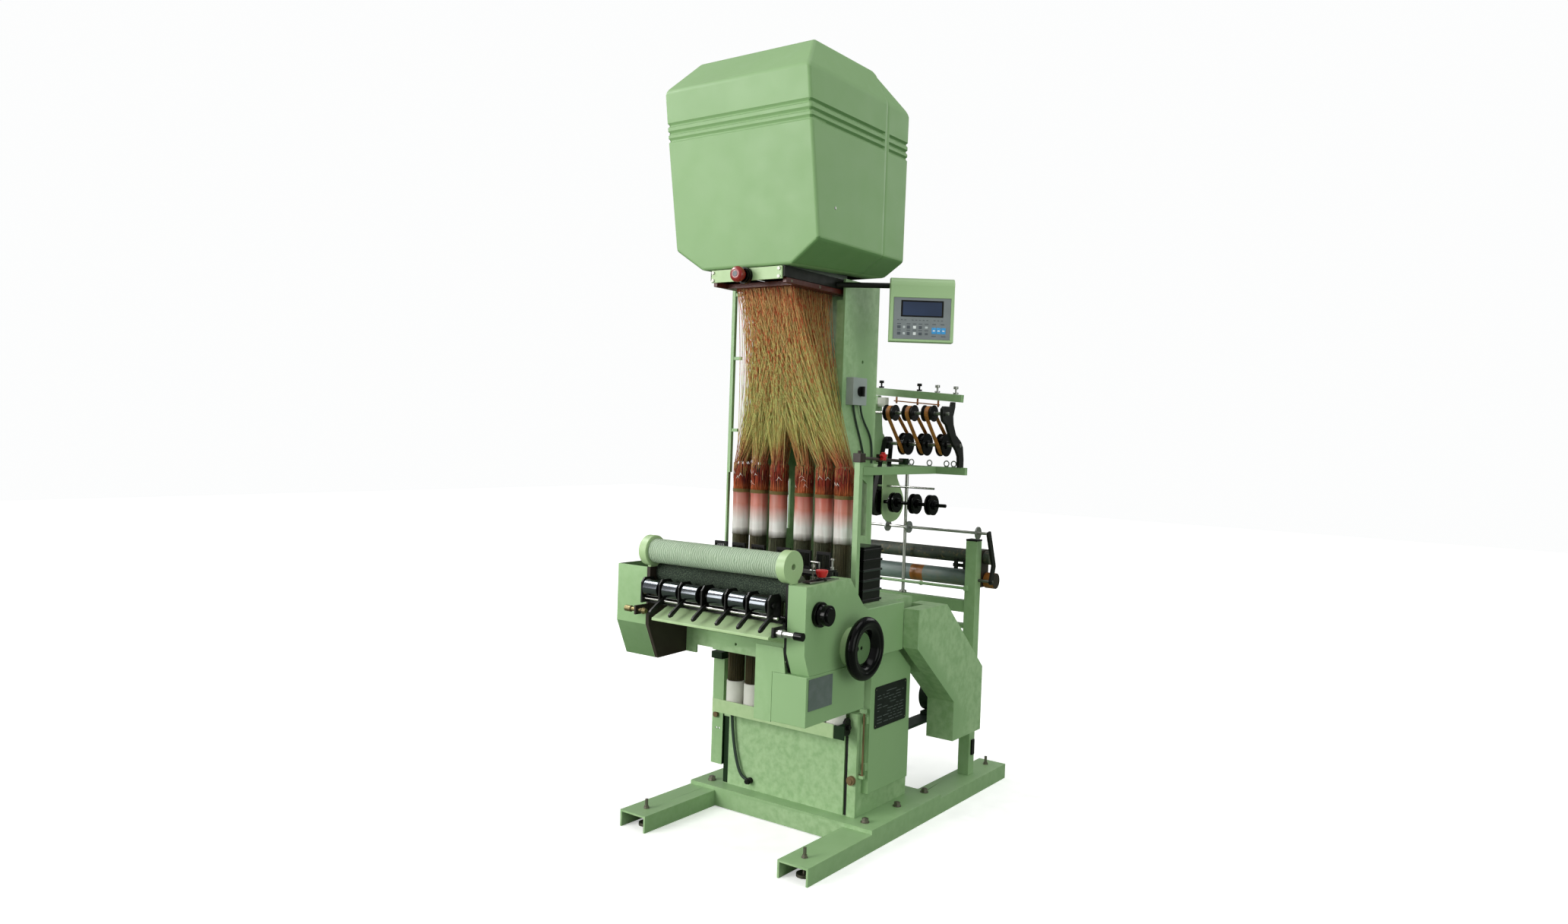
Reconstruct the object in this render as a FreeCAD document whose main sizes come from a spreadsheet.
import FreeCAD, Part
import math
import os
import Sketcher

# Six-head electronic jacquard ribbon loom.
# Design frame: x = 0 on the machine's centre plane, y = 0 at the front ends of the
# base rails (+y to the rear), z = 0 on the floor.  Millimetres throughout.

V = FreeCAD.Vector
R = FreeCAD.Rotation

doc = FreeCAD.newDocument("PowerLoom")
dims = doc.addObject("Spreadsheet::Sheet", "Dims")

ROW = [0]
SHEET = {}


def size(alias, value):
    """One named dimension of the sheet; returns the expression that reads it."""
    if alias not in SHEET:
        ROW[0] += 1
        dims.set("A%d" % ROW[0], alias.replace("_", " "))
        dims.set("B%d" % ROW[0], "%.6g" % float(value))
        dims.setAlias("B%d" % ROW[0], alias)
        SHEET[alias] = float(value)
    return "Dims." + alias


def get(alias):
    return SHEET[alias]


# ---------------------------------------------------------------- main sizes
for name, value in [
        ("shift_x", 43.6), ("shift_y", 558.5),
        ("rail_length", 1220), ("rail_width", 100), ("rail_height", 50), ("rail_wall", 6),
        ("rail_inner_edge", 241.5), ("plate_front", 320), ("plate_rear", 737), ("plate_thick", 12),
        ("cabinet_half", 252), ("cabinet_front", 370), ("cabinet_rear", 668),
        ("ledge_height", 306), ("deck_height", 690), ("upper_front", 402),
        ("column_half", 150), ("column_front", 377), ("column_rear", 572), ("column_top", 1652),
        ("hood_half", 255), ("hood_top", 2262), ("hood_split", 408),
        ("bundle_y", 345), ("bundle_radius", 29),
        ("tape_x_inner", 47), ("tape_x_middle", 121), ("tape_x_outer", 190),
        ("shaft_y", 200), ("shaft_z", 606), ("shaft_radius", 12),
        ("running_gap", 0.3)]:
    size(name, value)

TAPES = [-get("tape_x_outer"), -get("tape_x_middle"), -get("tape_x_inner"),
         get("tape_x_inner"), get("tape_x_middle"), get("tape_x_outer")]
ROLLS = [-193, -120, -47, 47, 120, 193]
GAP = get("running_gap")

SUBPARTS = []
POCKETS = []


# ---------------------------------------------------------------- helpers
def bind(obj, prop, alias, value):
    obj.setExpression(prop, size(alias, value))


def node(obj, label, base=(0.0, 0.0, 0.0)):
    """Makes obj a finished sub-part and carries it into the stored frame."""
    if obj.TypeId in ("Part::Box", "Part::Cylinder"):
        obj = group(label + "_set", obj)
    for other in doc.Objects:
        if other.Label == label and other is not obj:
            other.Label = label + "_blank"
    obj.Label = label
    for k, axis in enumerate("xyz"):
        expr = size("%s_place_%s" % (label, axis), base[k])
        if axis != "z":
            expr += " - Dims.shift_" + axis
        obj.setExpression("Placement.Base." + axis, expr)
    SUBPARTS.append(obj)
    return obj


def box(name, lo, hi):
    b = doc.addObject("Part::Box", name)
    for k, (axis, prop) in enumerate(zip("xyz", ("Length", "Width", "Height"))):
        bind(b, "Placement.Base." + axis, "%s_%s" % (name, axis), lo[k])
        bind(b, prop, "%s_%s" % (name, prop.lower()), hi[k] - lo[k])
    return b


def turn(axis):
    if axis == "x":
        return R(V(0, 1, 0), 90)
    if axis == "y":
        return R(V(1, 0, 0), -90)
    if axis == "z":
        return R()
    return R(V(0, 0, 1), V(*axis))


def cyl(name, base, axis, radius, length):
    c = doc.addObject("Part::Cylinder", name)
    c.Placement = FreeCAD.Placement(V(*base), turn(axis))
    for k, a in enumerate("xyz"):
        bind(c, "Placement.Base." + a, "%s_%s" % (name, a), base[k])
    bind(c, "Radius", name + "_radius", radius)
    bind(c, "Height", name + "_length", length)
    return c


def cone(name, base, axis, r1, r2, length):
    c = doc.addObject("Part::Cone", name)
    c.Placement = FreeCAD.Placement(V(*base), turn(axis))
    for k, a in enumerate("xyz"):
        bind(c, "Placement.Base." + a, "%s_%s" % (name, a), base[k])
    bind(c, "Radius1", name + "_radius_low", r1)
    bind(c, "Radius2", name + "_radius_high", r2)
    bind(c, "Height", name + "_length", length)
    return c


def torus(name, base, axis, r1, r2):
    c = doc.addObject("Part::Torus", name)
    c.Placement = FreeCAD.Placement(V(*base), turn(axis))
    for k, a in enumerate("xyz"):
        bind(c, "Placement.Base." + a, "%s_%s" % (name, a), base[k])
    bind(c, "Radius1", name + "_ring_radius", r1)
    bind(c, "Radius2", name + "_tube_radius", r2)
    return c


def ball(name, centre, radius):
    c = doc.addObject("Part::Sphere", name)
    for k, a in enumerate("xyz"):
        bind(c, "Placement.Base." + a, "%s_%s" % (name, a), centre[k])
    bind(c, "Radius", name + "_radius", radius)
    return c


def rod(name, p, q, radius):
    """Straight round bar from p to q."""
    d = [q[k] - p[k] for k in range(3)]
    length = math.sqrt(sum(c * c for c in d))
    return cyl(name, p, tuple(d), radius, length)


def outline(body, name, plane, shapes, offset):
    """Sketch of closed outlines on an origin plane of its own body.
    A shape is a list of corner points or (u, v, radius) for a circle."""
    sk = body.newObject("Sketcher::SketchObject", name)
    support = [f for f in body.Origin.OriginFeatures if f.Role == plane + "_Plane"][0]
    sk.AttachmentSupport = [(support, "")]
    sk.MapMode = "FlatFace"
    bind(sk, "AttachmentOffset.Base.z", name + "_level", offset)
    g = 0
    for s, shape in enumerate(shapes):
        if isinstance(shape, tuple):
            u, v, r = shape
            sk.addGeometry(Part.Circle(V(u, v, 0), V(0, 0, 1), r), False)
            pin(sk, g, 3, u, v, "%s_c%d" % (name, s))
            c = sk.addConstraint(Sketcher.Constraint("Radius", g, r))
            bind(sk, "Constraints[%d]" % c, "%s_c%d_radius" % (name, s), r)
            g += 1
            continue
        n = len(shape)
        for i in range(n):
            p, q = shape[i], shape[(i + 1) % n]
            sk.addGeometry(Part.LineSegment(V(p[0], p[1], 0), V(q[0], q[1], 0)), False)
        for i in range(n):
            sk.addConstraint(Sketcher.Constraint("Coincident", g + i, 2, g + (i + 1) % n, 1))
        for i in range(n):
            pin(sk, g + i, 1, shape[i][0], shape[i][1], "%s_s%d_p%d" % (name, s, i))
        g += n
    return sk


def pin(sk, geo, pos, u, v, alias):
    for kind, value, axis, tag in (("DistanceX", u, -2, "u"), ("DistanceY", v, -1, "v")):
        if abs(value) < 1e-9:
            sk.addConstraint(Sketcher.Constraint("PointOnObject", geo, pos, axis))
        else:
            c = sk.addConstraint(Sketcher.Constraint(kind, -1, 1, geo, pos, value))
            bind(sk, "Constraints[%d]" % c, "%s_%s" % (alias, tag), value)


def pad(body, name, plane, shapes, lo, hi):
    """Solid between the levels lo and hi along the plane's own axis."""
    sk = outline(body, name + "_sketch", plane, shapes, -hi if plane == "XZ" else lo)
    f = body.newObject("PartDesign::Pad", name)
    f.Profile = sk
    bind(f, "Length", name + "_depth", hi - lo)
    return f


def pocket(body, name, plane, shapes, lo, hi):
    sk = outline(body, name + "_sketch", plane, shapes, -lo if plane == "XZ" else hi)
    before = body.Tip
    f = body.newObject("PartDesign::Pocket", name)
    f.Profile = sk
    bind(f, "Length", name + "_depth", hi - lo)
    POCKETS.append((f, before))
    return f


def body(name):
    return doc.addObject("PartDesign::Body", name)


def prism(name, plane, points, lo, hi):
    b = body(name)
    pad(b, name + "_pad", plane, [points], lo, hi)
    return b


def rect(u0, v0, u1, v1):
    return [(u0, v0), (u1, v0), (u1, v1), (u0, v1)]


def cut(name, base, *tools):
    c = doc.addObject("Part::Cut", name)
    c.Base = base
    c.Tool = tools[0] if len(tools) == 1 else fuse(name + "_tools", *tools)
    return c


def fuse(name, *objs):
    f = doc.addObject("Part::MultiFuse", name)
    f.Shapes = list(objs)
    f.Refine = False
    return f


def common(name, a, b):
    c = doc.addObject("Part::Common", name)
    c.Base = a
    c.Tool = b
    return c


def group(name, *objs):
    c = doc.addObject("Part::Compound", name)
    c.Links = list(objs)
    return c


def hexagon(cy, cx, across, phase=0.0):
    r = across / math.sqrt(3)
    return [(cx + r * math.cos(math.radians(60 * i + phase)),
             cy + r * math.sin(math.radians(60 * i + phase))) for i in range(6)]


# ================================================================ base
FEET_Y = [58, 365, 550, 722, 1168]
FEET_X = 290
base_parts = []
for side, label in ((1, "rail_right"), (-1, "rail_left")):
    x0 = get("rail_inner_edge") * side
    x1 = x0 + get("rail_width") * side
    lo, hi = min(x0, x1), max(x0, x1)
    w, hgt = get("rail_wall"), get("rail_height")
    b = body(label)
    pad(b, label + "_channel", "XZ",
        [[(lo, 0), (lo + w, 0), (lo + w, hgt - w), (hi - w, hgt - w), (hi - w, 0),
          (hi, 0), (hi, hgt), (lo, hgt)]], 0, get("rail_length"))
    pocket(b, label + "_bolt_holes", "XY", [(FEET_X * side, y, 6.5) for y in FEET_Y],
           hgt - w - 2, hgt + 2)
    base_parts.append(b)

b = body("base_plate")
t0, t1 = get("rail_height"), get("rail_height") + get("plate_thick")
pad(b, "base_plate_sheet", "XY", [rect(-341.5, get("plate_front"), 341.5, get("plate_rear"))], t0, t1)
pad(b, "base_plate_skirt", "XY", [rect(-241.5, 320, 241.5, 332)], 2, t0)
pocket(b, "base_plate_holes", "XY",
       [(s * FEET_X, y, 6.5) for s in (-1, 1) for y in FEET_Y[1:4]], t0 - 2, t1 + 2)
base_parts.append(b)
node(group("base_parts", *base_parts), "base_frame")

solids = []
for s in (-1, 1):
    for i, y in enumerate(FEET_Y):
        tag = "foot_%s%d" % ("l" if s < 0 else "r", i)
        x = s * FEET_X
        on_plate = 1 <= i <= 3
        deck = t1 if on_plate else t0
        stud = cyl(tag + "_stud", (x, y, 8), "z", 6 if on_plate else 4.6, deck + (14 if on_plate else 28) - 8)
        pad_disc = cyl(tag + "_disc", (x, y, 0), "z", 22, 8.5)
        nut = prism(tag + "_nut", "XY", hexagon(y, x, 19 if on_plate else 13), deck + 3, deck + (12 if on_plate else 8))
        washer = cyl(tag + "_washer", (x, y, deck), "z", 13 if on_plate else 8.5, 3)
        solids.append(fuse(tag, stud, pad_disc, nut, washer))
node(group("levelling_bolts", *solids), "levelling_bolts")

# ================================================================ cabinet (pedestal)
b = body("cabinet")
ch, cf, cr = get("cabinet_half"), get("cabinet_front"), get("cabinet_rear")
lh, dh, uf = get("ledge_height"), get("deck_height"), get("upper_front")
pad(b, "cabinet_shell", "YZ",
    [[(cf, t1), (cr, t1), (cr, dh), (uf, dh), (uf, lh), (cf, lh)]], -ch, 250)
pad(b, "cabinet_corner_post", "XY", [rect(221, cf, 250, uf + 4)], lh - 2, 370)
pocket(b, "cabinet_inside", "YZ",
       [[(cf + 14, t1 + 5), (cr - 5, t1 + 5), (cr - 5, dh - 6), (uf + 6, dh - 6), (uf + 6, lh - 6),
         (cf + 14, lh - 6)]], -ch + 5, 245)
pocket(b, "cabinet_left_recess", "XY", [rect(-253, cf - 1, -231, cf + 9)], t1 + 1, 277)
pocket(b, "cabinet_right_slot", "XY", [rect(208, cf - 1, 220, cf + 9)], t1 + 1, 301)
pocket(b, "cabinet_door_opening", "YZ",
       [[(420, 145), (624, 145), (624, 478), (552, 530), (420, 530)]], 240, 252)
pocket(b, "cabinet_shaft_hole", "YZ", [(600, 600, 14.5)], 240, 252)
node(b, "cabinet")

plug = fuse("cabinet_plug_solid", cyl("plug_cap", (237, 358, 173), "y", 13.5, 12),
            cyl("plug_button", (237, 354, 173), "y", 8, 5))
irons = [plug]

# rounded bracket with its screw at the end of the spring trough
b = body("trough_clamp")
pad(b, "trough_clamp_plate", "YZ",
    [[(338, 312), (346, 306), (362, 306), (369, 313), (369, 349), (360, 358), (346, 358), (338, 349)]],
    220.3, 226.3)
irons.append(fuse("trough_clamp_solid", b, cyl("trough_screw", (226, 353, 331), "x", 8, 4),
          prism("trough_screw_head", "YZ", hexagon(331, 353, 13), 229, 235)))

# left angle iron with its bolt
b = body("left_angle")
pad(b, "left_angle_section", "XY",
    [[(-299, 366), (-255, 366), (-255, 410), (-259, 410), (-259, 370), (-299, 370)]], 119, 460)
pocket(b, "left_angle_holes", "XZ", [(-281, 234, 3.5), (-270, 234, 3.5), (-280, 278, 4)], 364, 372)
irons.append(b)
irons.append(fuse("left_angle_bolt_solid", cyl("left_angle_shank", (-280, 360, 278), "y", 3.9, 16),
          cyl("left_angle_head", (-280, 356, 278), "y", 9, 10),
          cyl("left_angle_nut", (-280, 370, 278), "y", 8, 6)))
irons.append(box("left_angle_cap", (-299, 352, 460), (-256, 410, 482)))

# ================================================================ spring trough
b = body("spring_trough")
pad(b, "spring_trough_section", "YZ",
    [[(300, 306), (385, 306), (385, 347), (381, 347), (381, 312), (304, 312), (304, 347), (300, 347)]],
    -246.5, 210)
irons.append(b)
irons.append(fuse("trough_end", box("trough_end_face", (210.3, 303, 306), (246, 307, 345)),
                  box("trough_end_leg", (221, 307, 306), (226, 337.8, 345))))

# ================================================================ door
b = body("door")
pad(b, "door_panel", "YZ", [[(402, 130), (637, 130), (637, 474), (553, 541), (402, 541)]], 250.3, 272)
pocket(b, "door_hollow", "YZ", [[(407, 135), (632, 135), (632, 470), (550, 534), (407, 534)]], 250, 268)
for k, z in enumerate((200, 340)):
    pad(b, "door_knuckle_%d" % k, "XY", [rect(256, 391.5, 268, 404)], z, z + 22)
name_plate = box("name_plate", (272, 425, 319), (273.5, 612, 444))
node(group("door_parts", b, name_plate), "door")
hinge = fuse("hinge_pin_solid", cyl("hinge_rod", (262, 385, 188), "z", 2.8, 190),
             box("hinge_lug_low", (250, 379, 180), (268, 391, 189)),
             box("hinge_lug_high", (250, 379, 374), (268, 391, 386)))
irons.append(hinge)
node(group("irons", *irons), "spring_trough")

# ================================================================ side housings
b = body("side_housing")
pad(b, "side_housing_block", "XY",
    [[(228, 292), (290, 292), (290, 549.7), (250, 549.7), (250, 401.7), (228, 401.7)]], 544, 690)
pocket(b, "side_housing_inside", "XY",
       [[(234, 298), (284, 298), (284, 544), (256, 544), (256, 396), (234, 396)]], 540, 684)
node(b, "side_housing")

b = body("takeup_casting")
profile = [(-20, 790), (-20, 610), (5, 552), (292, 552), (292, 697), (266, 712), (240, 740), (193, 795)]
inner = [(-12, 782), (-12, 612), (10, 560), (284, 560), (284, 692), (262, 706), (236, 733), (190, 786)]
pad(b, "takeup_casting_solid", "YZ", [profile], 262, 320)
pocket(b, "takeup_casting_inside", "YZ", [inner], 261, 312)
pocket(b, "takeup_casting_holes", "YZ", [(200, 606, 12.4), (40, 713, 8.4)], 310, 322)
pocket(b, "takeup_button_hole", "XY", [(291, 92, 5.4)], 780, 800)
button_ring = cut("button_base", cyl("button_ring", (291, 92, 795), "z", 15, 6),
                  cyl("button_bore", (291, 92, 790), "z", 5.4, 14))
node(group("takeup_casting_parts", b, button_ring), "takeup_casting")

b = body("side_plate_right")
pad(b, "side_plate_right_sheet", "YZ",
    [[(-15, 788), (-15, 606), (8, 552), (291.5, 552), (291.5, 700), (268, 709), (238, 736), (210, 788)]],
    250, 262)
pocket(b, "side_plate_right_holes", "YZ", [(200, 606, 12.3), (45, 770, 8.3), (262, 640, 8.3)], 249, 263)
plates_black = [b]

b = body("side_plate_left")
pad(b, "side_plate_left_sheet", "YZ",
    [[(-20, 788), (-20, 620), (25, 517), (156, 521), (190, 545), (401.7, 545), (401.7, 690),
      (290, 690), (238, 736), (210, 788)]], -244, -232)
pocket(b, "side_plate_left_holes", "YZ", [(200, 606, 12.3), (45, 770, 8.3), (262, 640, 8.3)], -245, -231)
plates_black.append(b)

b = body("left_bin")
pad(b, "left_bin_outer", "YZ", [[(-20, 788), (-20, 620), (25, 517), (156, 521), (156, 788)]], -360, -244)
pocket(b, "left_bin_inside", "YZ", [[(-17, 790), (-17, 620.6), (27, 520), (153, 524), (153, 790)]],
       -357, -247)
node(b, "left_bin")

b = body("lower_side_box")
pad(b, "lower_side_box_outer", "XY", [rect(211, -10, 323, 280)], 419, 551.7)
pocket(b, "lower_side_box_inside", "XY", [rect(215, -6, 319, 276)], 417, 547.5)
pocket(b, "lower_side_box_window", "YZ", [rect(6, 467, 106, 539)], 317, 324)
node(group("lower_side_box_parts", b, box("window_plate", (323, 0, 461), (325, 112, 545))),
     "lower_side_box")

b = body("apron")
pad(b, "apron_sheet", "XZ",
    [[(153, 416), (210.5, 416), (210.5, 552), (253, 552), (244, 620), (153, 620)]], -10, -6)
pad(b, "apron_shelf", "YZ", [rect(-6.5, 583, 150, 587)], 155, 244)
pad(b, "apron_flange", "YZ", [rect(146, 560, 150, 584)], 155, 244)
apron = b

b = body("breast_beam")
pad(b, "breast_beam_web", "XZ",
    [[(-232, 521), (-192, 521), (-192, 545), (-129, 545), (-129, 541), (210.5, 541), (210.5, 552),
      (250, 552), (250, 593), (-232, 593)]], 150, 156)
pad(b, "breast_beam_top", "YZ", [rect(155, 587, 180, 593)], -232, 250)
pad(b, "breast_beam_low", "YZ", [rect(155, 545, 180, 551)], -232, 210)
pocket(b, "breast_beam_hole", "XZ", [(-42, 567, 4)], 148, 158)
node(group("breast_beam_parts", b, apron), "breast_beam")

b = body("front_tray")
pad(b, "front_tray_sheet", "YZ",
    [[(-86, 651), (-83, 651), (-82, 655), (-20, 681), (152, 596.5), (152, 593.2), (157, 593.2),
      (157, 599), (-19, 685.5), (-86, 658)]], -160, 249.5)
node(b, "front_tray")

# ================================================================ take-up rollers
beam = box("roller_cross_bar", (-231.8, -30, 687), (249.8, -2, 697))
plates = [beam]
for i, x in enumerate((-224, -156.5, -83.5, 0, 83.5, 156.5, 229)):
    plates.append(prism("roller_bracket_%d" % i, "YZ",
                        [(-58, 690), (-2, 690), (-2, 752), (-12, 762), (-46, 762), (-58, 748)],
                        x - 7, x - 2))
brackets = cut("roller_brackets", fuse("roller_bracket_blank", *plates),
               cyl("roller_shaft_bore", (-250, -40, 733), "x", 8.3, 510),
               cyl("white_rod_bore", (-250, -46, 702), "x", 4.2, 510))
plates_black.append(brackets)

drums = [cyl("roller_axle", (-239, -40, 733), "x", 8, 474)]
for i, x in enumerate(ROLLS):
    drums.append(cyl("nip_roll_%d" % i, (x - 26.5, -40, 733), "x", 25, 53))
node(fuse("nip_rollers", *drums), "nip_rollers")
plates_black.append(cyl("guide_rod", (-231.8, -46, 702), "x", 4, 481.6))

LEVER_X = [-156.5, -83.5, 0, 83.5, 156.5, 229]
for i, x in enumerate(LEVER_X):
    tag = "release_lever_%d" % (i + 1)
    hub = cyl(tag + "_hub", (x - 1.5, -46, 702), "x", 9, 7)
    arm = prism(tag + "_arm", "YZ",
                [(-44, 694), (-50, 709), (-62, 704), (-96, 683), (-103, 676), (-100, 669), (-90, 671),
                 (-58, 693)], x - 1.5, x + 5.5)
    node(cut(tag + "_solid", fuse(tag + "_blank", hub, arm),
             cyl(tag + "_bore", (x - 3, -46, 702), "x", 4.3, 10)), tag)

node(fuse("draw_drum", cyl("draw_drum_barrel", (-231.5, 45, 770), "x", 40, 481),
          cyl("draw_drum_axle", (-243.5, 45, 770), "x", 8, 505)), "draw_drum")

node(fuse("cloth_roller", cyl("cloth_barrel", (-220.6, -10, 837), "x", 35, 462.2),
          cyl("cloth_axle", (-240, -10, 837), "x", 8, 501)), "cloth_roller")
caps = []
for tag, x, z in (("left", -249, 788), ("right", 242, 790.9)):
    blank = fuse("end_cap_%s_blank" % tag, cyl("end_cap_%s_disc" % tag, (x, -10, 837), "x", 44, 28),
                 box("end_cap_%s_foot" % tag, (x + (5 if tag == "left" else 20), -18, z),
                     (x + (17 if tag == "left" else 28), 12, z + 18)))
    caps.append(cut("end_cap_" + tag, blank,
                    cyl("end_cap_%s_bore" % tag, (x - 1, -10, 837), "x", 8.3, 30)))
boss = cut("handwheel_boss", cyl("boss_disc", (320, 200, 606), "x", 53.8, 22),
           cyl("boss_bore", (319, 200, 606), "x", 12.4, 30))
node(group("end_caps", boss, *caps), "roller_end_caps")

# start/stop rod across the front
stop_left = fuse("stop_rod_left", cyl("stop_rod_bar", (-264, -60, 668), "x", 6, 58),
                 cyl("stop_rod_grip_left", (-285, -60, 668), "x", 9, 22),
                 cone("stop_rod_ball_left", (-224, -60, 668), "x", 6.5, 10, 9),
                 cone("stop_rod_ball_left_b", (-215, -60, 668), "x", 10, 6.5, 9))
stop_right = fuse("stop_rod_right", cyl("stop_rod_sleeve_right", (249.8, -60, 668), "x", 8.5, 67),
                  cyl("stop_rod_collar_right", (268, -60, 668), "x", 12, 12),
                  cyl("stop_rod_end_right", (316, -60, 668), "x", 11, 26))
stop = group("stop_rod_pair", stop_left, stop_right)
node(stop, "stop_rod")
guides = []
for tag, x, lo, hi in (("left", -240, (-240, -72, 660), (-234, -20, 676)),
                       ("right", 250, (250.5, -72, 660), (258, -20, 676))):
    rear = box("stop_guide_%s_web" % tag, (lo[0], -24, 655), (hi[0], -15 if tag == "right" else -20, 690))
    ear = box("stop_guide_%s_ear" % tag, (lo[0], -74, 656), (hi[0], -20, 682))
    r = 6.3 if tag == "left" else 8.8
    guides.append(cut("stop_guide_" + tag, fuse("stop_guide_%s_blank" % tag, rear, ear),
                      cyl("stop_guide_%s_bore" % tag, (x - 2, -60, 668), "x", r, 14)))
plates_black += guides

# black clutch knob
knob = fuse("clutch_knob", cyl("knob_spindle", (304, 40, 713), "x", 8, 18),
            cyl("knob_base", (320.4, 40, 713), "x", 34, 11),
            cone("knob_neck", (331, 40, 713), "x", 26, 17, 12),
            cyl("knob_cap", (342, 40, 713), "x", 28, 14),
            cyl("knob_nose", (355, 40, 713), "x", 20, 6))
node(knob, "clutch_knob")

# ================================================================ main shaft and handwheel
wheel = fuse("handwheel", torus("handwheel_rim", (369, 200, 606), "x", 73, 15),
             cut("handwheel_dish", cyl("handwheel_dish_blank", (354, 200, 606), "x", 68, 26),
                 cone("handwheel_dish_bore", (354, 200, 606), "x", 42, 53, 26)),
             cyl("handwheel_web", (352, 200, 606), "x", 50, 8),
             cyl("handwheel_hub", (344, 200, 606), "x", 26, 16),
             cyl("handwheel_grip", (360, 157, 612), "x", 7, 14))
node(cut("handwheel_solid", wheel, cyl("handwheel_bore", (340, 200, 606), "x", 12, 18)), "handwheel")
shaft = fuse("main_shaft", cyl("main_shaft_bar", (-243.5, 200, 606), "x", 12, 601),
             cyl("main_shaft_eccentric_l", (-206, 203, 606), "x", 19, 14),
             cyl("main_shaft_eccentric_r", (196, 203, 606), "x", 19, 14),
             cyl("main_shaft_collar_l", (-231, 200, 606), "x", 17, 8),
             cyl("main_shaft_collar_r", (240, 200, 606), "x", 17, 8))
node(shaft, "main_shaft")

# ================================================================ sley with reeds, weft needles
sley = [cyl("sley_shaft", (-243, 262, 640), "x", 8, 504)]
for i, x in enumerate((-212, -8, 214)):
    sley.append(prism("sley_arm_%d" % i, "YZ",
                      [(252, 634), (272, 634), (270, 660), (259, 788), (243, 788), (252, 660)], x, x + 14))
sley.append(box("sley_bar", (-226, 243, 780), (236, 259, 798)))
reeds = []
for i, x in enumerate(TAPES):
    frame = box("reed_%d_frame" % i, (x - 24, 247, 798), (x + 24, 255, 852))
    window = box("reed_%d_window" % i, (x - 20, 246, 806), (x + 20, 256, 844))
    dents = [box("reed_%d_dent_%d" % (i, k), (x - 17 + 4.5 * k, 249, 805), (x - 16 + 4.5 * k, 253, 845))
             for k in range(8)]
    reeds.append(fuse("reed_%d" % i, cut("reed_%d_ring" % i, frame, window), *dents))
node(group("sley_and_reeds", fuse("sley_frame", *sley), *reeds), "sley")

rail = [box("needle_bar", (-242, 189, 795), (258, 201, 805))]
for i, x in enumerate(TAPES):
    rail.append(cyl("needle_%d_stem" % i, (x + 22, 195, 804), "z", 2.5, 26))
    rail.append(cyl("needle_%d_tip" % i, (x - 6, 195, 828), "x", 2, 30))
node(fuse("weft_needles", *rail), "weft_needles")
blocks = []
for tag, x, z in (("left", -244, 788), ("right", 250, 788)):
    blocks.append(cut("needle_guide_" + tag, box("needle_guide_%s_block" % tag, (x, 181, z), (x + 12, 209, 812)),
                      box("needle_guide_%s_slot" % tag, (x - 1, 188.6, 794.6), (x + 13, 201.4, 805.4))))
plates_black += blocks
plates_black.append(fuse("thread_guide_front", cyl("thread_guide_front_base", (256, 100, 788), "z", 5.8, 12),
                         cyl("thread_guide_front_stem", (256, 100, 800), "z", 3, 36),
                         cyl("thread_guide_front_top", (256, 100, 828), "z", 6, 5),
                         cyl("thread_guide_front_bar", (247, 100, 818), "x", 2.5, 18)))
plates_black.append(fuse("thread_guide_rear", cyl("thread_guide_rear_base", (256, 195, 812), "z", 5.8, 8),
                         cyl("thread_guide_rear_stem", (256, 195, 820), "z", 3, 24),
                         cyl("thread_guide_rear_top", (256, 195, 838), "z", 6, 5)))
node(group("plates_black", *plates_black), "side_plates")

# red stop button on the casting's top, with its base ring
node(fuse("red_button", cone("red_button_cap", (291, 92, 804), "z", 12, 17, 14),
          cyl("red_button_top", (291, 92, 818), "z", 17, 6),
          cyl("red_button_stem", (291, 92, 784), "z", 5, 21)), "red_button")

# ================================================================ heddle bundles
cups, bundles = [], []
for i, x in enumerate(TAPES):
    cups.append(cyl("spring_cup_%d" % i, (x, get("bundle_y"), 312), "z", get("bundle_radius"), 95))
    bundles.append(fuse("heddle_bundle_%d" % i,
                        cyl("spring_pack_%d" % i, (x, get("bundle_y"), 407), "z", 26.5, 463),
                        cyl("bundle_sleeve_%d" % i, (x, get("bundle_y"), 870), "z", 29, 130),
                        cyl("bundle_band_%d" % i, (x, get("bundle_y"), 1000), "z", 29.4, 11),
                        cone("heddle_sheath_%d" % i, (x, get("bundle_y"), 1011), "z", 27, 29.4, 84)))
node(group("cups", *cups), "spring_cups")
node(group("bundles", *bundles), "heddle_bundles")
# harness: one tapering prism of cords from the bundles up to the harness board
b = doc.addObject("Part::Feature", "harness_cords")
lower = Part.makePolygon([V(-226, 316, 1095.5), V(226, 316, 1095.5), V(226, 374, 1095.5), V(-226, 374, 1095.5),
                          V(-226, 316, 1095.5)])
middle = Part.makePolygon([V(-119.8, 193, 1504), V(119.8, 193, 1504), V(119.8, 376.6, 1504),
                           V(-119.8, 376.6, 1504), V(-119.8, 193, 1504)])
upper = Part.makePolygon([V(-98, 162, 1606), V(98, 162, 1606), V(98, 385, 1606), V(-98, 385, 1606),
                          V(-98, 162, 1606)])
b.Shape = Part.makeLoft([lower, middle, upper], True, True)
node(b, "harness_cords")
board = box("harness_board_slab", (-118, 112, 1606), (118, 418, 1620))

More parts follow.
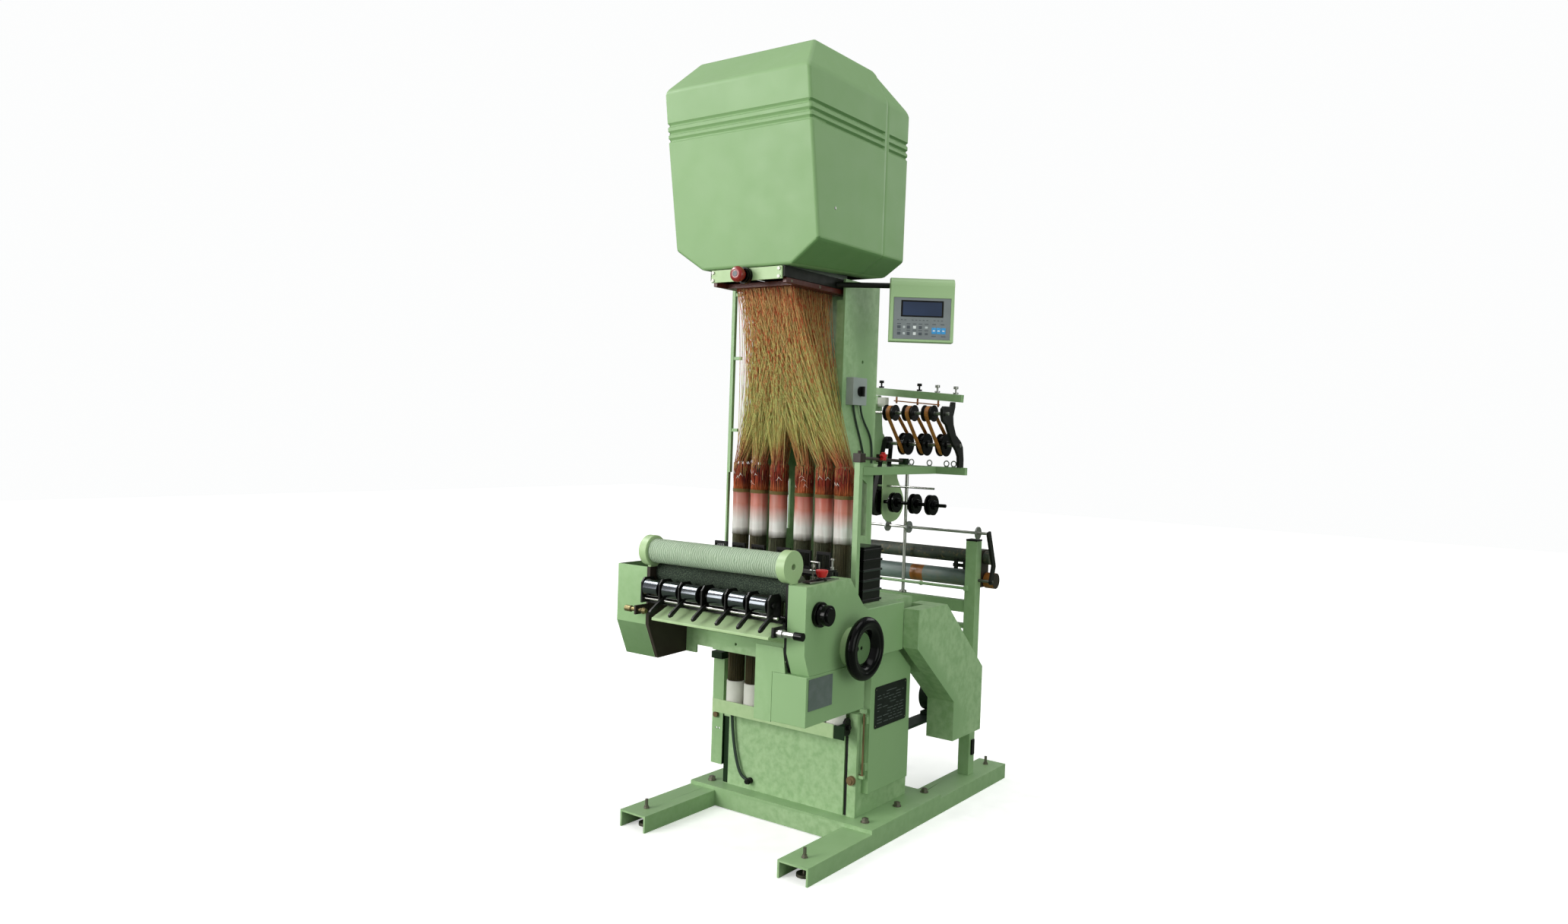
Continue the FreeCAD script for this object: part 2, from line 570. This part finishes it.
# ================================================================ column
b = body("column")
kh, kf, kr, kt = get("column_half"), get("column_front"), get("column_rear"), get("column_top")
pad(b, "column_section", "XY",
    [[(-kh, kf), (-120, kf), (-120, kf + 8), (-kh + 8, kf + 8), (-kh + 8, kr - 8), (kh - 8, kr - 8),
      (kh - 8, kf + 8), (120, kf + 8), (120, kf), (kh, kf), (kh, kr), (-kh, kr)]], dh, kt)
pad(b, "column_foot", "XY", [rect(-kh, kf + 25, kh, kr)], dh, dh + 10)
pocket(b, "column_notch", "YZ", [rect(kf - 1, 1590, kf + 8, kt + 1)], -kh + 8, kh - 8)
pocket(b, "column_side_window", "YZ", [[(452, 880), (538, 880), (538, 1040), (500, 1060), (452, 1060)]],
       -kh - 1, kh + 1)
pocket(b, "column_pin_hole", "YZ", [(486, 1413, 5)], kh - 10, kh + 1)
node(b, "column")

# ================================================================ mount frame
b = body("mount_plate")
pad(b, "mount_plate_face", "XZ", [rect(-125, 1616, 127, 1651)], 86, 92)
pad(b, "mount_plate_shelf", "YZ", [rect(91, 1645, 105, 1651)], -121, 121)
pocket(b, "mount_plate_hole", "XZ", [(3, 1629, 11.3)], 84, 94)
mount = [b]
rails = []
for tag, s in (("left", -1), ("right", 1)):
    x0, x1 = sorted((s * 121.5, s * 133))
    rails.append(box("mount_rail_" + tag, (x0, 92, 1622), (x1, 451, 1652)))
rails.append(box("mount_cross_rear", (-121.5, 436, 1622), (121.5, 451, 1652)))
mount += rails
strips = []
for tag, s in (("left", -1), ("right", 1)):
    x0, x1 = sorted((s * 118.2, s * 131))
    strips.append(box("mount_strip_" + tag, (x0, 104, 1607), (x1, 418, 1621.8)))
node(group("board_set", board, *strips), "harness_board")
screws = [cyl("frame_screw_0", (118, 82, 1644), "y", 5, 4), cyl("frame_screw_1", (118, 82, 1622), "y", 5, 4),
          cyl("frame_screw_2", (-118, 82, 1644), "y", 5, 4), cyl("frame_screw_3", (-118, 82, 1622), "y", 5, 4),
          cyl("frame_screw_4", (133, 430, 1630), "x", 5, 4), cyl("frame_screw_5", (-137, 430, 1630), "x", 5, 4)]
mount += screws

# emergency stop
mount.append(cut("estop_collar", fuse("estop_collar_blank", cyl("estop_ring", (3, 72, 1629), "y", 23.5, 14),
                              cyl("estop_nose", (3, 66, 1629), "y", 21, 8)),
         cyl("estop_bore", (3, 60, 1629), "y", 11.2, 40)))
node(group("mount_parts", *mount), "mount_frame")
node(fuse("estop_button", cyl("estop_stem", (3, 62, 1629), "y", 11, 30),
          cone("estop_cap_neck", (3, 50, 1629), "y", 22.5, 17, 12),
          cyl("estop_cap", (3, 34, 1629), "y", 22.5, 16)), "estop_button")

# ================================================================ hood
def hood_solid(name, off):
    side = prism(name + "_side", "YZ",
                 [(3 + off, 2165 - off * .4), (20 + off, 2045), (66 + off, 1705), (84 + off, 1653),
                  (535 - off, 1672 if off < 3 else 1660), (540 - off, 2159 - off * .4), (399, 2262 - off),
                  (100, 2262 - off)], -get("hood_half") + off, get("hood_half") - off)
    front = prism(name + "_front", "XZ",
                  [(-255 + off, 1715 + off * .4), (-140 + off, 1640), (-140 + off, 1630), (140 - off, 1630),
                   (140 - off, 1640), (255 - off, 1715 + off * .4), (255 - off, 2162 - off * .4),
                   (203 - off * .4, 2262 - off), (-203 + off * .4, 2262 - off), (-255 + off, 2162 - off * .4)],
                  0, 545)
    return common(name, side, front)


outer = hood_solid("hood_outer", 0)
thin = hood_solid("hood_groove_floor", 2)
slabs = []
for i, z in enumerate((2068, 2046, 2026)):
    slabs.append(box("hood_slab_%d_front" % i, (-260, -2, z - 3.5), (260, 396, z + 3.5)))
    slabs.append(box("hood_slab_%d_rear" % i, (-260, 424, z - 3.5), (260, 545, z + 3.5)))
grooves = cut("hood_grooves", fuse("hood_slabs", *slabs), thin)
cavity = fuse("hood_cavity", hood_solid("hood_inner", 5),
              box("hood_mouth_front", (-128, 96, 1625), (128, 400, 1680)),
              box("hood_mouth_rear", (-128, 300, 1625), (128, 525, 1680)))
shell = cut("hood_shell", outer, grooves, cavity)
ys = get("hood_split")
node(common("hood_front", shell, box("hood_front_range", (-270, -10, 1600), (270, ys - GAP, 2300))),
     "hood_front")
shell2 = cut("hood_shell_rear", hood_solid("hood_outer_rear", 0),
             cut("hood_grooves_rear", fuse("hood_slabs_rear", *[
                 box("hood_slab_rear_%d" % i, (-260, 424, z - 3.5), (260, 545, z + 3.5))
                 for i, z in enumerate((2068, 2046, 2026))]), hood_solid("hood_floor_rear", 2)),
             fuse("hood_cavity_rear", hood_solid("hood_inner_rear", 5),
                  box("hood_mouth_back", (-128, 300, 1625), (128, 525, 1680))))
node(common("hood_rear", shell2, box("hood_rear_range", (-270, ys, 1600), (270, 560, 2300))), "hood_rear")

# jacquard head inside the hood: frame with magnet block, and the two lifting griffes
head = [box("jacquard_bar_front", (-108, 105, 1652), (108, 165, 1664)),
        box("jacquard_bar_rear", (-108, 370, 1652), (108, 430, 1664)),
        box("jacquard_bar_l", (-108, 165, 1652), (-95, 370, 1664)),
        box("jacquard_bar_r", (95, 165, 1652), (108, 370, 1664)),
        box("jacquard_cheek_l", (-120, 105, 1652), (-108, 430, 2180)),
        box("jacquard_cheek_r", (108, 105, 1652), (120, 430, 2180)),
        box("jacquard_head", (-108, 105, 2085), (108, 430, 2180))]
node(group("jacquard_frame_set", *head), "jacquard_frame")
for tag, label, z in (("a", "griffe_a", 1760), ("b", "griffe_b", 1900)):
    bars = [box("griffe_%s_end_%d" % (tag, k), (-107.5, y, z), (107.5, y + 10, z + 24))
            for k, y in enumerate((120, 400))]
    bars += [box("griffe_%s_knife_%d" % (tag, k), (-100 + 28 * k, 129, z + 6), (-95 + 28 * k, 401, z + 20))
             for k in range(8)]
    node(fuse(label, *bars), label)

# ================================================================ control panel on its arm
pa = rod("panel_tube", (133, 352, 1632), (298, 464.3, 1634), 8)
arm = cut("panel_arm_solid", fuse("panel_arm_blank", pa, ball("panel_arm_elbow", (298, 464.3, 1634), 12),
                                  cyl("panel_arm_pin", (298, 464.3, 1570), "z", 6, 64)),
          box("panel_arm_trim", (100, 320, 1600), (133, 420, 1660)))
node(arm, "panel_arm")
# panel in its own axes: x across the face, -y out of the face; turned 36 degrees about z
b = body("panel_case")
pad(b, "panel_case_box", "XZ", [[(-93, -93), (93, -93), (93, 93), (-93, 93)]], 0, 42)
pocket(b, "panel_case_recess", "XZ", [rect(-83, -86, 83, 35)], -1, 4)
pad(b, "panel_lug_plate", "XY", [rect(-63.2, 41, -35.2, 76)], 20, 46)
pocket(b, "panel_lug_bore", "XY", [(-49.2, 58.4, 6.3)], 10, 60)
panel_yaw = R(V(0, 0, 1), 36)
panel_parts = [b]
b = body("panel_face")
pad(b, "panel_bezel", "XZ", [rect(-82.7, -85.7, 82.7, 34.7)], 1, 4)
pocket(b, "panel_screen_opening", "XZ", [rect(-62, -22, 62, 28)], 0, 5)
panel_parts.append(b)
b = body("panel_screen")
pad(b, "panel_screen_glass", "XZ", [rect(-61.7, -21.7, 61.7, 27.7)], 2, 4)
panel_parts.append(b)
b = group("panel_parts", *panel_parts)
b.Placement = FreeCAD.Placement(V(0, 0, 0), panel_yaw)
node(b, "control_panel", (372.08, 446, 1559))

# ================================================================ switch box and column cables
b = body("switch_box")
pad(b, "switch_box_shell", "YZ", [rect(398, 1280, 474, 1362)], 150, 176)
pocket(b, "switch_box_bore", "YZ", [(436, 1321, 4.4)], 160, 177)
switch_box = b
node(fuse("rotary_switch", cyl("rotary_stem", (162, 436, 1321), "x", 4, 16),
          cyl("rotary_disc", (176.3, 436, 1321), "x", 15, 7),
          box("rotary_bar", (183, 432, 1306), (191, 440, 1336))), "rotary_switch")


def cord_path(points, radius):
    """Straight runs joined by tangent arcs, swept with a round section."""
    pts = [V(*p) for p in points]
    edges, start = [], pts[0]
    for i in range(1, len(pts) - 1):
        a, p, c = pts[i - 1], pts[i], pts[i + 1]
        u, w = (a - p), (c - p)
        la, lc = u.Length, w.Length
        u.normalize()
        w.normalize()
        half = (math.pi - u.getAngle(w)) / 2
        reach = 0.45 * min(la, lc)
        rad = reach / math.tan(half)
        print("cord radius %.1f at %s" % (rad, tuple(round(k) for k in p)))
        s, e = p + u * reach, p + w * reach
        bis = (u + w)
        bis.normalize()
        mid = p + bis * (rad / math.cos(half) - rad)
        edges.append(Part.LineSegment(start, s).toShape())
        edges.append(Part.Arc(s, mid, e).toShape())
        start = e
    edges.append(Part.LineSegment(start, pts[-1]).toShape())
    path = Part.Wire(edges)
    direction = pts[1] - pts[0]
    circle = Part.Wire([Part.makeCircle(radius, pts[0], direction)])
    tube = path.makePipeShell([circle], True, False)
    want = math.pi * radius ** 2 * path.Length
    print("cord length %.1f, volume %.0f of %.0f" % (path.Length, tube.Volume, want))
    return tube


size("cable_radius", 3.2)
size("conduit_radius", 5)
b = doc.addObject("Part::Feature", "column_cables")
b.Shape = Part.Compound([
    cord_path([(157, 430, 1280), (156, 436, 1262), (155, 452, 1228), (154.5, 470, 1196), (154, 490, 1160),
               (154, 506, 1120)], get("cable_radius")),
    cord_path([(162, 462, 1280), (160, 470, 1258), (157, 496, 1228), (155, 522, 1206), (154, 544, 1178),
               (154, 552, 1140), (154, 552, 1104)], get("cable_radius"))])
cables = [b]
b = doc.addObject("Part::Feature", "conduit")
b.Shape = cord_path([(-213, 359, 306), (-210, 359, 262), (-202, 359, 205), (-191, 359, 158), (-178, 359, 119),
                     (-160, 360, 97), (-142, 364, 92)], get("conduit_radius"))
cables.append(b)
node(group("cables_set", *cables), "cables")
gland = (fuse("conduit_fittings", cyl("conduit_gland_ring", (-138, 354, 92), "y", 10, 16),
          cyl("conduit_gland_body", (-138, 346, 92), "y", 7.5, 10)))

# ================================================================ post, clamp, tie rod
posts_set = [gland, box("right_post", (238, 321, 690), (256, 339, 1112))]
posts_set.append(fuse("post_clamp", box("post_clamp_block", (234, 317, 1112), (260, 346, 1138)),
                      cyl("post_clamp_screw", (247, 331, 1138), "z", 5, 8)))
posts_set.append(rod("tie_rod_bar", (245, 349, 1124), (45, 931.6, 1106), 5))
posts_set.append(group("left_bar_set", fuse("left_bar_solid", box("left_bar", (-246, 335, 1060), (-234, 347, 1640)),
                                box("left_bar_arm_top", (-234, 337, 1612), (-133.2, 345, 1622)),
                                box("left_bar_foot", (-246, 335, 690), (-240, 347, 1060)),
                                box("left_bar_tab_a", (-234, 337, 1413), (-205, 345, 1423)),
                                box("left_bar_tab_b", (-234, 337, 1188), (-212, 345, 1198)))))

# red star knob that clamps the tie rod
KX, KY, KZ = 167.4, 575.0, 1117.0
star = [cyl("star_knob_hub", (KX + 9, KY, KZ + 9), "x", 7.5, 11)]
for k in range(5):
    a = math.radians(72 * k + 18)
    star.append(cyl("star_knob_lobe_%d" % k, (KX + 9, KY + 9.2 * math.cos(a), KZ + 9 + 9.2 * math.sin(a)), "x", 4.6, 11))
posts_set.append(cut("star_knob", fuse("star_knob_blank", *star,
                                       box("star_knob_block", (KX - 7, KY - 7, KZ - 8), (KX + 5, KY + 7, KZ + 16)),
                                       cyl("star_knob_stud", (KX + 4, KY, KZ + 9), "x", 3.5, 7)),
                     rod("star_knob_bore", (245, 349, 1124), (45, 931.6, 1106), 5)))
node(group("posts_group", *posts_set), "side_posts")

# black ribbed box beside the column
b = body("ribbed_box")
pad(b, "ribbed_box_core", "XY", [rect(150.3, 406, 228, 506)], 690, 858)
for k in range(6):
    pad(b, "ribbed_box_rib_%d" % k, "XY", [rect(150.3, 402, 232, 510)], 694 + 30 * k, 700 + 30 * k)
node(group("boxes_group", b, switch_box), "column_boxes")

# ================================================================ belt drive
b = body("belt_cover")
outline_pts = [(550, 669), (732, 668), (1003, 430), (1003, 218), (803, 218), (803, 345), (558, 544), (550, 550)]
inner_pts = [(553, 666), (731, 665), (1000, 428.6), (1000, 221), (806, 221), (806, 346.4), (558, 548)]
pad(b, "belt_cover_outer", "YZ", [outline_pts], 290, 341.5)
pad(b, "belt_cover_deep", "YZ",
    [[(672, 668), (732, 668), (1003, 430), (1003, 218), (803, 218), (803, 345), (672, 451.4)]], 246, 292)
pocket(b, "belt_cover_inside", "YZ", [inner_pts], 288, 338)
pocket(b, "belt_cover_inside_deep", "YZ",
       [[(675, 665), (731, 665), (1000, 428.6), (1000, 221), (806, 221), (806, 346.4), (675, 453)]],
       245, 291)
node(group("belt_cover_parts", b, box("cover_stay", (250, 560, 652), (337.9, 590, 662)),
           box("cover_stay_back", (230, 668, 560), (246, 700, 590))), "belt_cover")

node(fuse("drive_pulley", cyl("drive_shaft", (150, 600, 600), "x", 14, 170),
          cyl("drive_pulley_rim", (296, 600, 600), "x", 42, 6), cyl("drive_pulley_core", (302, 600, 600), "x", 37, 12),
          cyl("drive_pulley_rim_b", (314, 600, 600), "x", 42, 6)), "drive_pulley")
drive = []
drive.append(cut("gearbox_solid", box("gearbox_case", (60, 520, 500), (200, 650, 660)),
         cyl("gearbox_bore", (100, 600, 600), "x", 14.4, 120)))
drive.append(box("gearbox_stand", (70, 540, 67), (190, 640, 500)))
MY, MZ = 905, 330
motor = cut("motor_solid", fuse("motor_blank", cyl("motor_barrel", (185, MY, MZ), "x", 52, 84),
                                box("motor_feet", (190, MY - 46, MZ - 62), (243, MY + 46, MZ - 50)),
                                cyl("motor_flange", (268, MY, MZ), "x", 38, 6)),
            cyl("motor_bore", (240, MY, MZ), "x", 8.4, 40))
drive.append(motor)
drive.append(fuse("motor_bracket", box("motor_shelf", (185, 668, MZ - 70), (245, MY + 48, MZ - 62)),
          box("motor_bracket_foot", (175, 668, MZ - 100), (245, 676, MZ - 30))))
node(fuse("motor_pulley", cyl("motor_spindle", (250, MY, MZ), "x", 8, 70),
          cyl("motor_pulley_rim", (296, MY, MZ), "x", 25, 6), cyl("motor_pulley_core", (302, MY, MZ), "x", 20, 12),
          cyl("motor_pulley_rim_b", (314, MY, MZ), "x", 25, 6)), "motor_pulley")


def belt_loop(y0, z0, r0, y1, z1, r1, thick, x0, x1):
    """Closed flat belt around two pulleys whose axes lie along x."""
    def hull(a, b):
        d = math.hypot(y1 - y0, z1 - z0)
        base = math.atan2(z1 - z0, y1 - y0)
        th = math.acos((a - b) / d)
        p = [(y0 + a * math.cos(base + s * th), z0 + a * math.sin(base + s * th)) for s in (1, -1)]
        q = [(y1 + b * math.cos(base + s * th), z1 + b * math.sin(base + s * th)) for s in (1, -1)]
        far0 = (y0 - a * math.cos(base), z0 - a * math.sin(base))
        far1 = (y1 + b * math.cos(base), z1 + b * math.sin(base))
        P = lambda t: V(x0, t[0], t[1])
        return Part.Wire([Part.LineSegment(P(p[0]), P(q[0])).toShape(),
                          Part.Arc(P(q[0]), P(far1), P(q[1])).toShape(),
                          Part.LineSegment(P(q[1]), P(p[1])).toShape(),
                          Part.Arc(P(p[1]), P(far0), P(p[0])).toShape()])
    out = Part.Face(hull(r0 + thick, r1 + thick)).extrude(V(x1 - x0, 0, 0))
    inn = Part.Face(hull(r0, r1)).extrude(V(x1 - x0, 0, 0))
    return out.cut(inn)


size("belt_thickness", 4)
b = doc.addObject("Part::Feature", "drive_belt")
b.Shape = belt_loop(600, 600, 37.4, MY, MZ, 20.4, get("belt_thickness"), 302.5, 313.5)
belts = [b]
node(group("drive_group", *drive), "drive_unit")

# ================================================================ rear frame
posts = []
for tag, x in (("right", 262), ("left", -302)):
    posts.append(cut("rear_post_" + tag, box("rear_post_%s_tube" % tag, (x, 1007, 50), (x + 40, 1047, 845)),
                     box("rear_post_%s_bore" % tag, (x + 4, 1011, 49), (x + 36, 1043, 846))))
cross = [fuse("rear_bar_upper", box("rear_bar_top", (-262, 1012, 600), (262, 1042, 640)),
              cyl("rear_bar_knob", (-49, 1003, 611), "y", 7, 9)),
         box("rear_bar_low", (-262, 1012, 545), (262, 1042, 560))]
rear = posts + cross
rear.append(group("post_caps", *[box("post_cap_%s" % tag, (x - 1, 1006, 845), (x + 41, 1048, 851))
                          for tag, x in (("right", 262), ("left", -302))]))
clips = []
for tag, s in (("right", 1), ("left", -1)):
    a, c = sorted((s * 258, s * 262)), sorted((s * 302, s * 308))
    clips.append(box("post_clip_in_" + tag, (a[0], 1015, 95), (a[1], 1036, 150)))
    clips.append(box("post_clip_out_" + tag, (c[0], 1018, 118), (c[1], 1038, 170)))
rear += clips
br = []
for tag, x in (("right", 264), ("left", -300)):
    br.append(cut("roller_bearing_" + tag,
                  box("roller_bearing_%s_block" % tag, (x, 1047, 685), (x + 36, 1110, 812)),
                  cyl("roller_bearing_%s_bore_a" % tag, (x - 1, 1090, 708), "x", 10.4, 40),
                  cyl("roller_bearing_%s_bore_b" % tag, (x - 1, 1078, 786), "x", 8.4, 40)))
rear += br
node(fuse("back_roller", cyl("back_roller_barrel", (-262, 1090, 708), "x", 29, 524),
          cyl("back_roller_axle", (-332, 1090, 708), "x", 10, 664),
          cyl("back_roller_end", (302, 1090, 708), "x", 27, 38),
          cyl("back_roller_end_left", (-340, 1090, 708), "x", 27, 38)), "back_roller")
node(fuse("warp_roller", cyl("warp_roller_barrel", (-262, 1078, 786), "x", 24, 524),
          cyl("warp_roller_axle", (-302, 1078, 786), "x", 8, 604),
          cyl("warp_roller_end", (302, 1078, 786), "x", 23, 22)), "warp_roller")
pins = [cyl("arm_pin_right", (302, 1030, 712), "x", 5, 54), cyl("arm_pin_left", (-356, 1030, 712), "x", 5, 54)]
rear += pins
arms = []
for tag, x in (("right", 344), ("left", -352)):
    blank = fuse("tension_%s_blank" % tag, cyl("tension_%s_hub" % tag, (x, 1030, 712), "x", 11, 8),
                 prism("tension_%s_link" % tag, "YZ",
                       [(1020, 715), (1040, 708), (1056, 762), (1053, 774), (1008, 884), (993, 880),
                        (990, 868), (1034, 766)], x, x + 8))
    arms.append(cut("tension_" + tag, blank, cyl("tension_%s_bore" % tag, (x - 1, 1030, 712), "x", 5.3, 10)))
arms.append(cyl("tension_rod", (-344.5, 1001, 875), "x", 5, 689))
for i, x in enumerate((-308, -43, 43, 308)):
    arms.append(cyl("tension_disc_%d" % i, (x - 3, 1001, 875), "x", 21, 6))
node(fuse("tension_arm", *arms), "tension_arm")
rear.append(fuse("yarn_clamps", box("yarn_clamp_bar", (195, 1047, 748), (262, 1053, 760)),
          box("yarn_clamp_a", (202, 1040, 742), (216, 1047, 776)),
          box("yarn_clamp_b", (236, 1040, 742), (250, 1047, 776)),
          box("yarn_clamp_stay", (250, 1042, 742), (262, 1050, 770))))
rear.append(fuse("low_rod", cyl("low_rod_bar", (-276, 1001, 684), "x", 5, 552),
                 box("low_rod_clamp_r", (264, 995, 676), (276, 1007, 692)),
                 box("low_rod_clamp_l", (-276, 995, 676), (-264, 1007, 692)),
                 cone("low_rod_knob_a", (90, 1001, 684), "x", 5.5, 8, 8),
                 cone("low_rod_knob_b", (98, 1001, 684), "x", 8, 5.5, 8)))
node(group("rear_group", *rear), "rear_frame")

# ================================================================ yarn feeder
pole = fuse("pole_solid", cyl("pole_tube", (14, 1025, 640), "z", 6, 425),
            cyl("pole_foot", (14, 1025, 640), "z", 13, 8))
feeder = [pole]
fb = fuse("feeder_bars", box("feeder_low_bar", (-266, 948, 1068), (277, 966, 1093)),
          box("pole_bracket", (9, 960, 1065), (29, 1036, 1075)),
          box("feeder_arm", (150.3, 484, 1068), (168, 949, 1093)),
          box("tie_block", (30, 934, 1093), (56, 960, 1115)))
feeder.append(fb)
top = doc.addObject("Part::Box", "feeder_top_bar")
bind(top, "Length", "feeder_top_length", 402)
bind(top, "Width", "feeder_top_width", 20)
bind(top, "Height", "feeder_top_height", 25)
top.Placement = FreeCAD.Placement(V(-111, 872, 1336), R(V(0, 1, 0), 4.0))
for k, axis in enumerate("xyz"):
    bind(top, "Placement.Base." + axis, "feeder_top_" + axis, (-111, 872, 1336)[k])
feeder.append(top)
plates = []
for tag, x0, x1 in (("right", 252, 262), ("left", -262, -252), ("mid", -34, -24)):
    pts = [(804, 1262), (804, 1284), (816, 1293), (862, 1293), (880, 1262), (884, 1236), (904, 1202),
           (944, 1178), (958, 1160), (966, 1120), (966, 1093), (934, 1093), (930, 1130), (916, 1148),
           (880, 1176), (856, 1206), (838, 1232), (812, 1244)]
    if tag == "mid":
        pts = [(806, 1262), (808, 1284), (822, 1300), (866, 1300), (872, 1329), (892, 1329), (900, 1296),
               (906, 1230), (914, 1196), (932, 1184), (946, 1170), (946, 1158), (934, 1146), (926, 1136),
               (934, 1128), (962, 1126), (966, 1120), (966, 1093), (850, 1093)]
    if tag == "right":
        pts = [(804, 1262), (804, 1284), (816, 1293), (866, 1293), (872, 1309), (892, 1309), (892, 1293),
               (880, 1262), (884, 1236), (904, 1202), (944, 1178), (958, 1160), (966, 1120), (966, 1093),
               (934, 1093), (930, 1130), (916, 1148), (880, 1176), (856, 1206), (838, 1232), (812, 1244)]
    plates.append(cut("feeder_plate_" + tag, prism("feeder_plate_%s_blank" % tag, "YZ", pts, x0, x1),
                      cyl("feeder_plate_%s_bore_a" % tag, (x0 - 1, 824, 1269), "x", 6.3, 12),
                      cyl("feeder_plate_%s_bore_b" % tag, (x0 - 1, 930, 1166), "x", 6.3, 12)))
feeder += plates
up = [cyl("feed_upper_axle", (-266, 824, 1269), "x", 6, 540)]
low = [cyl("feed_lower_axle", (-266, 930, 1166), "x", 6, 534)]
FEED_X = [-203, -131, -58, 58, 131, 203]
for i, x in enumerate(FEED_X):
    up += [cyl("feed_drum_%d" % i, (x - 16, 824, 1269), "x", 22, 32),
           cyl("feed_drum_%d_rim_a" % i, (x - 19, 824, 1269), "x", 27, 4),
           cyl("feed_drum_%d_rim_b" % i, (x + 15, 824, 1269), "x", 27, 4)]
    low += [cyl("feed_wheel_%d" % i, (x - 10, 930, 1166), "x", 31, 20),
            cyl("feed_wheel_%d_rim_a" % i, (x - 13, 930, 1166), "x", 38, 4),
            cyl("feed_wheel_%d_rim_b" % i, (x + 9, 930, 1166), "x", 38, 4),
            cyl("feed_wheel_%d_hub" % i, (x - 17, 930, 1166), "x", 13, 34)]
low.append(cyl("feed_sprocket", (-21.5, 930, 1166), "x", 20, 17))
node(fuse("feed_drums", *up), "feed_drums")
node(fuse("feed_wheels", *low), "feed_wheels")
size("feed_belt_thickness", 2)
b = doc.addObject("Part::Feature", "feed_belts")
b.Shape = Part.Compound([belt_loop(824, 1269, 22.3, 930, 1166, 31.3, get("feed_belt_thickness"), x - 7, x + 7)
                         for x in FEED_X])
belts.append(b)
disc = [cyl("disc_axle", (-46, 885, 965), "x", 6, 290), cyl("disc_pulley", (-21.5, 885, 965), "x", 42, 17)]
for i, x in enumerate((50, 127, 190)):
    disc += [cyl("brake_disc_%d_a" % i, (x - 11, 885, 965), "x", 34, 7),
             cyl("brake_disc_%d_b" % i, (x + 4, 885, 965), "x", 34, 7),
             cyl("brake_disc_%d_hub" % i, (x - 16, 885, 965), "x", 15, 34)]
node(fuse("disc_shaft", *disc), "disc_shaft")
b = doc.addObject("Part::Feature", "feed_drive_belt")
b.Shape = belt_loop(885, 965, 42.3, 930, 1166, 20.3, 3, -21, -5)
belts.append(b)
node(group("belt_group", *belts), "belts")


guard = cut("belt_guard", prism("belt_guard_sheet", "YZ",
                                [(871, 1068), (871, 938), (876, 920), (888, 906), (905, 897), (928, 893), (950, 894),
                                 (972, 899), (990, 909), (1005, 924), (1015, 941), (1018, 958), (1015, 975),
                                 (1004, 995), (985, 1022), (970, 1042), (966, 1052), (966, 1068)], 4, 8),
            cyl("belt_guard_bore", (3, 885, 965), "x", 6.3, 6))
hanger = cut("disc_hanger", prism("disc_hanger_sheet", "YZ",
                                  [(871, 1068), (871, 940), (878, 925), (895, 915), (915, 912), (940, 914), (955, 925),
                                   (966, 950), (966, 1068)], -44, -38),
             cyl("disc_hanger_bore", (-45, 885, 965), "x", 6.3, 8))
feeder.append(fuse("feeder_guards", guard, hanger, cyl("yarn_rod_bar", (-44, 900, 1019), "x", 3.5, 234)))
thumb = []
for i, (x, zt) in enumerate(((-18, 1353.6), (130, 1343.2), (198, 1338.4), (266, 1333.7))):
    zt = 1336 + 25 * math.cos(math.radians(4)) - (x + 111) * math.tan(math.radians(4)) + 0.9
    thumb.append(fuse("thumb_screw_%d" % i, cyl("thumb_stem_%d" % i, (x, 882, zt), "z", 3, 20),
                      cyl("thumb_collar_%d" % i, (x, 882, zt), "z", 9, 5),
                      cyl("thumb_head_%d" % i, (x, 882, zt + 16), "z", 8, 9)))
feeder += thumb
rail_parts = []
for k, (x, zt) in enumerate(((47, 1324.6), (128, 1319.0), (206, 1313.6))):
    rail_parts.append(box("tape_stay_%d" % k, (x - 3, 874, zt - 22), (x + 3, 878, zt)))
slope = doc.addObject("Part::Box", "tape_rail_bar")
bind(slope, "Length", "tape_rail_length", 172)
bind(slope, "Width", "tape_rail_width", 10)
bind(slope, "Height", "tape_rail_height", 4)
slope.Placement = FreeCAD.Placement(V(40, 868, 1309), R(V(0, 1, 0), 4.0))
for k, axis in enumerate("xyz"):
    bind(slope, "Placement.Base." + axis, "tape_rail_" + axis, (40, 868, 1309)[k])
rail_parts.append(slope)
feeder.append(cut("tape_rail", fuse("tape_rail_blank", *rail_parts), top))
feeder.append(box("terminal_block", (-23.7, 868, 1290), (8, 890, 1322)))
eyes = []
for i, x in enumerate((-180, -110, 70, 140, 205, 232)):
    eyes.append(fuse("yarn_eye_%d" % i, torus("yarn_eye_ring_%d" % i, (x, 953, 1104), "y", 9, 2),
                     box("yarn_eye_foot_%d" % i, (x - 6, 949, 1093), (x + 6, 957, 1096.5))))
feeder += eyes
node(group("feeder_group", *feeder), "feeder_frame")

# ================================================================ checks and output
doc.recompute()
bad = [o.Name for o in doc.Objects if any(s in ("Invalid", "Error") for s in o.State)]
for o in doc.Objects:
    if o.Name in bad:
        print("failed object:", o.Name, o.State)
if bad:
    raise RuntimeError("objects failed: %s" % bad[:10])
for f, before in POCKETS:
    if not f.Shape.Volume < before.Shape.Volume - 1.0:
        raise RuntimeError("pocket removes nothing: %s" % f.Name)
total = None
for o in SUBPARTS:
    sh = o.Shape
    if sh.isNull() or not sh.isValid() or not sh.Solids:
        raise RuntimeError("bad shape: %s" % o.Label)
    total = sh.BoundBox if total is None else total.united(sh.BoundBox)
print("%d sub-parts, %d sheet sizes" % (len(SUBPARTS), ROW[0]))
print("overall x %.1f..%.1f y %.1f..%.1f z %.1f..%.1f" % (
    total.XMin, total.XMax, total.YMin, total.YMax, total.ZMin, total.ZMax))
os.makedirs("parts", exist_ok=True)
for o in SUBPARTS:
    o.Shape.exportStep("parts/%s.step" % o.Label)
